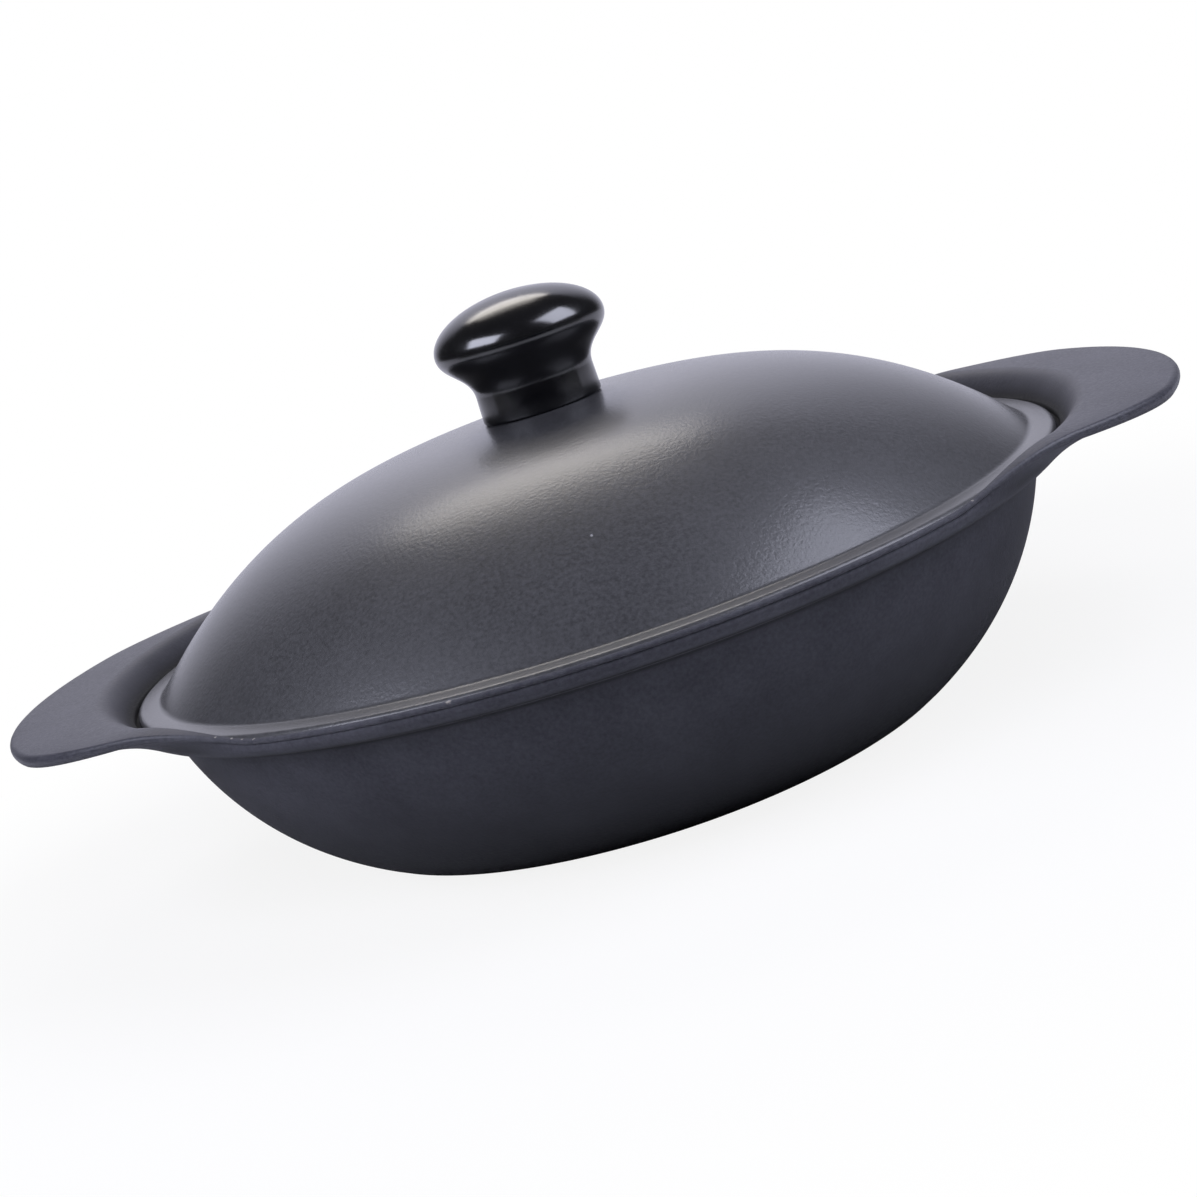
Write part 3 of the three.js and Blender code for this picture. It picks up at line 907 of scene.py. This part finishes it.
def split_ring_tree():
    """A bar with rounded edges that follows most of a circle, its cut ends slanted."""
    floats = ("Radius", "Width", "Thickness", "Edge round", "Open angle", "Turn with height", "Height")
    tree, given = geometry_tree("split_ring", {
        **dict.fromkeys(floats, "Float"), "Steps": "Int", "Edge facets": "Int", "Material": "Material",
    })
    bar = add(tree, "GeometryNodeCurvePrimitiveQuadrilateral", {
        "Width": given["Width"], "Height": given["Thickness"],
    })
    eased = add(tree, "GeometryNodeFilletCurve", {
        "Curve": bar, "Count": given["Edge facets"], "Radius": given["Edge round"],
    }, mode="POLY")
    start = add(tree, "ShaderNodeMath", {0: given["Open angle"], 1: 2}, operation="DIVIDE")
    sweep = add(tree, "ShaderNodeMath", {0: 2 * math.pi, 1: given["Open angle"]}, operation="SUBTRACT")
    circle = add(tree, "GeometryNodeCurveArc", {
        "Resolution": given["Steps"],
        "Radius": given["Radius"],
        "Start Angle": start,
        "Sweep Angle": sweep,
    })
    ring = add(tree, "GeometryNodeCurveToMesh", {
        "Curve": circle, "Profile Curve": eased, "Fill Caps": True,
    })
    place = add(tree, "GeometryNodeInputPosition")
    height = add(tree, "ShaderNodeSeparateXYZ", {0: place}).outputs["Z"]
    slant = add(tree, "ShaderNodeMath", {0: height, 1: given["Turn with height"]}, operation="MULTIPLY")
    slanted = add(tree, "ShaderNodeVectorRotate", {"Vector": place, "Angle": slant}, rotation_type="Z_AXIS")
    placed = add(tree, "GeometryNodeSetPosition", {
        "Geometry": ring,
        "Position": slanted,
        "Offset": add(tree, "ShaderNodeCombineXYZ", {"Z": given["Height"]}),
    })
    real = add(tree, "GeometryNodeRealizeInstances", {"Geometry": placed})
    finished = add(tree, "GeometryNodeSetMaterial", {"Geometry": real, "Material": given["Material"]})
    add(tree, "NodeGroupOutput", {"Mesh": finished})
    return tree


spring = made_by(split_ring_tree(), "split_ring", bpy.data.meshes.new("split_ring"), {
    "Radius": spring_middle * MM,
    "Width": (spring_radius - screw_hole_radius) * MM,
    "Thickness": spring_thickness * MM,
    "Edge round": spring_edge_round * MM,
    "Open angle": spring_slit / spring_middle,
    "Turn with height": math.tan(spring_slant) / (spring_middle * MM),
    "Height": (spring_low.z + spring_high.z) / 2,
    "Steps": spring_steps,
    "Edge facets": spring_edge_facets,
    "Material": zinc,
})
spring.data.shade_smooth()
spring.data.set_sharp_from_angle(angle=sharp_from)
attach(spring, "lid")
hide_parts("spring_washer")


# Screw
# A pan-head machine screw of zinc-plated steel with a rolled thread and a cross recess. It comes up through
# both washers and the lid into the insert. Sizes are in millimetres, from the head's outer face up.
screw_low, screw_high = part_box("knob_screw")
screw_foot = screw_low.z / MM
screw_length = (screw_high.z - screw_low.z) / MM
screw_head_radius = screw_high.x / MM
screw_head_height = 3.0
screw_head_round = 1.6
screw_radius = 2.5
screw_tip_bevel = 0.6
thread_pitch = 0.8
thread_depth = 0.42
thread_rows_per_turn = 8
thread_runout = 1.2
cross_length = 5.2
cross_width = 1.1
cross_depth = 1.5
cross_taper = 0.7
head_ring_share = 1 / 3  # of the head's radius, where its outer face has a ring
head_edge_facets = 8
screw_steps = 64


def screw_section(angle):
    """Section of the screw at an angle: head, thread and tip."""
    low = screw_head_height + thread_runout
    high = screw_length - screw_tip_bevel
    rows = round((high - low) / thread_pitch * thread_rows_per_turn)
    heights = np.linspace(low, high, rows + 1)
    along = heights / thread_pitch - angle / (2 * math.pi)
    groove = np.abs(2 * (along - np.floor(along)) - 1)
    deepening = np.clip((heights - low) / thread_pitch, 0, 1)
    thread = np.column_stack((screw_radius - thread_depth * groove * deepening, heights))
    head_edge = arc(
        (screw_head_radius - screw_head_round, screw_head_round), screw_head_round, screw_head_round,
        -math.pi / 2, 0, head_edge_facets,
    )
    points = np.vstack((
        [(0, 0), (screw_head_radius * head_ring_share, 0)],
        head_edge,
        [(screw_head_radius, screw_head_height), (screw_radius, screw_head_height)],
        thread,
        [(screw_radius - thread_depth - screw_tip_bevel, screw_length), (0, screw_length)],
    ))
    return points + np.array((0, screw_foot)), {}


def cross_cutter():
    """A tapered cross that stands in the head from below."""
    length = cross_length / 2
    width = cross_width / 2
    quarter = [Vector((length, -width)), Vector((length, width)), Vector((width, width))]
    outline = [Matrix.Rotation(i * math.pi / 2, 2) @ point for i in range(4) for point in quarter]
    count = len(outline)
    outer = [(p.x / cross_taper, p.y / cross_taper, screw_foot - cross_depth) for p in outline]
    inner = [(p.x * cross_taper, p.y * cross_taper, screw_foot + cross_depth) for p in outline]
    sides = [(i, (i + 1) % count, count + (i + 1) % count, count + i) for i in range(count)]
    mesh = bpy.data.meshes.new("cross_cutter")
    mesh.from_pydata(
        [Vector(p) * MM for p in outer + inner], [],
        [tuple(reversed(range(count))), tuple(range(count, 2 * count)), *sides],
    )
    made = bpy.data.objects.new("cross_cutter", mesh)
    scene.collection.objects.link(made)
    return made


screw = swept("pan_head_screw", screw_section, screw_steps)
cutter = cross_cutter()
recess = screw.modifiers.new("cross_recess", "BOOLEAN")
recess.object = cutter
recess.operation = "DIFFERENCE"
recess.solver = "EXACT"
bake(screw)
bpy.data.objects.remove(cutter)
screw.data.set_sharp_from_angle(angle=sharp_from)
screw.data.materials.clear()
screw.data.materials.append(zinc)
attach(screw, "lid")
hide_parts("knob_screw")


# Studio
# White paper runs under the pot and up behind it. Two soft boxes hang close at the pot's sides and two hang
# high behind it, so that the satin iron shows a bright back edge. A black card lies before it. Sizes are in
# metres.
paper_half_width = 30.0  # far wider than a real roll, so that no view sees its edge
paper_front = -30.0
paper_back = 1.5
paper_bend = 0.4
paper_bend_facets = 16
paper_height = 1.6
paper_drop = 0.0002  # below the pot's base, so that the two faces don't lie in one plane
white_from = 0.3  # from the pot's middle: the paper is plain white from here outwards
shaded_to = 0.14  # and shows the pot's shadow up to here
shaded_white = 0.87  # share of plain white in the shadow
mirrored_to = 0.35  # to the sides: the iron mirrors the paper fully up to here
unmirrored_from = 1.7  # and not at all from here
card_box = ((-1.2, -1.6), (1.2, -0.42))
card_lift = 0.001
cool_white = "#e9ecff"
warm_white = "#fff9f2"
room_light = 0.06


def paper_sweep():
    bend = [
        (paper_back - paper_bend + paper_bend * math.sin(t), paper_bend - paper_bend * math.cos(t))
        for t in np.linspace(0, math.pi / 2, paper_bend_facets + 1)
    ]
    line = [(paper_front, 0), *bend, (paper_back, paper_height)]
    places = [(x, y, z - paper_drop) for y, z in line for x in (-paper_half_width, paper_half_width)]
    faces = [(2 * i, 2 * i + 1, 2 * i + 3, 2 * i + 2) for i in range(len(line) - 1)]
    mesh = bpy.data.meshes.new("paper_sweep")
    mesh.from_pydata(places, [], faces)
    mesh.shade_smooth()
    made = bpy.data.objects.new("paper_sweep", mesh)
    scene.collection.objects.link(made)
    return made


# White paper: plain white all over, with a soft shadow round the pot's base. The iron mirrors only the
# part behind the pot.
def white_paper():
    material, tree = empty_material("white_paper")
    place = add(tree, "ShaderNodeTexCoord").outputs["Object"]
    distance = add(tree, "ShaderNodeVectorMath", {0: place}, operation="LENGTH")
    away = add(tree, "ShaderNodeMapRange", {
        "Value": distance, "From Min": shaded_to, "From Max": white_from, "To Min": shaded_white,
    }, interpolation_type="SMOOTHSTEP")
    across = add(tree, "ShaderNodeSeparateXYZ", {0: place}).outputs
    aside = add(tree, "ShaderNodeMath", {0: across["X"]}, operation="ABSOLUTE")
    middle = add(tree, "ShaderNodeMapRange", {
        "Value": aside, "From Min": unmirrored_from, "From Max": mirrored_to,
    }, interpolation_type="SMOOTHSTEP")
    behind = add(tree, "ShaderNodeMath", {0: across["Y"], 1: 0}, operation="GREATER_THAN")
    path = add(tree, "ShaderNodeLightPath").outputs
    mirrored = add(tree, "ShaderNodeMath", {
        0: path["Is Glossy Ray"], 1: path["Is Transmission Ray"],
    }, operation="MAXIMUM")
    for limit in (middle, behind):
        mirrored = add(tree, "ShaderNodeMath", {0: mirrored, 1: limit}, operation="MULTIPLY")
    seen = add(tree, "ShaderNodeMath", {0: path["Is Camera Ray"], 1: mirrored}, operation="MAXIMUM")
    tint = add(tree, "ShaderNodeMix", {
        "Factor": path["Is Camera Ray"], "A": linear("#e8e8fa"), "B": linear("#ffffff"),
    }, data_type="RGBA")
    surface = add(tree, "ShaderNodeMixShader", {
        0: add(tree, "ShaderNodeMath", {0: seen, 1: away}, operation="MULTIPLY"),
        1: add(tree, "ShaderNodeBsdfDiffuse", {"Color": linear("#e6e6e6")}),
        2: add(tree, "ShaderNodeEmission", {"Color": tint, "Strength": 1}),
    })
    add(tree, "ShaderNodeOutputMaterial", {"Surface": surface})
    return material


paper = paper_sweep()
paper.data.materials.append(white_paper())


# Black felt: takes up nearly all light, so that the front of the iron mirrors nothing bright.
def black_felt():
    material, tree = empty_material("black_felt")
    felt = add(tree, "ShaderNodeBsdfDiffuse", {"Color": linear("#101010")})
    add(tree, "ShaderNodeOutputMaterial", {"Surface": felt})
    return material


def black_card():
    (left, front), (right, rear) = card_box
    places = [(x, y, card_lift) for x, y in ((left, front), (right, front), (right, rear), (left, rear))]
    mesh = bpy.data.meshes.new("black_card")
    mesh.from_pydata(places, [], [(0, 1, 2, 3)])
    mesh.materials.append(black_felt())
    made = bpy.data.objects.new("black_card", mesh)
    made.visible_camera = False
    scene.collection.objects.link(made)
    return made


black_card()


def soft_box(name, shape, place, width, height, watts, colour):
    """A soft box at a place, turned to face the lid."""
    lamp = bpy.data.lights.new(name, "AREA")
    lamp.shape = shape
    lamp.size = width
    lamp.size_y = height
    lamp.energy = watts
    lamp.color = linear(colour)[:3]
    made = bpy.data.objects.new(name, lamp)
    made.location = place
    made.rotation_euler = (Vector(place) - camera_target).to_track_quat("Z", "Y").to_euler()
    scene.collection.objects.link(made)


soft_box("right_soft_box", "RECTANGLE", (0.37, -0.155, 0.405), 0.36, 0.36, 2.5, cool_white)
soft_box("left_soft_box", "RECTANGLE", (-0.345, -0.265, 0.385), 0.38, 0.25, 2.3, cool_white)
soft_box("back_soft_box", "ELLIPSE", (-0.07, 0.80, 0.95), 0.7, 0.3, 2.1, warm_white)
soft_box("top_soft_box", "ELLIPSE", (-0.07, 0.64, 1.07), 0.6, 0.29, 0.55, warm_white)

world = bpy.data.worlds.new("room")
world.use_nodes = True
world.node_tree.nodes["Background"].inputs["Color"].default_value = linear("#ffffff")
world.node_tree.nodes["Background"].inputs["Strength"].default_value = room_light
scene.world = world
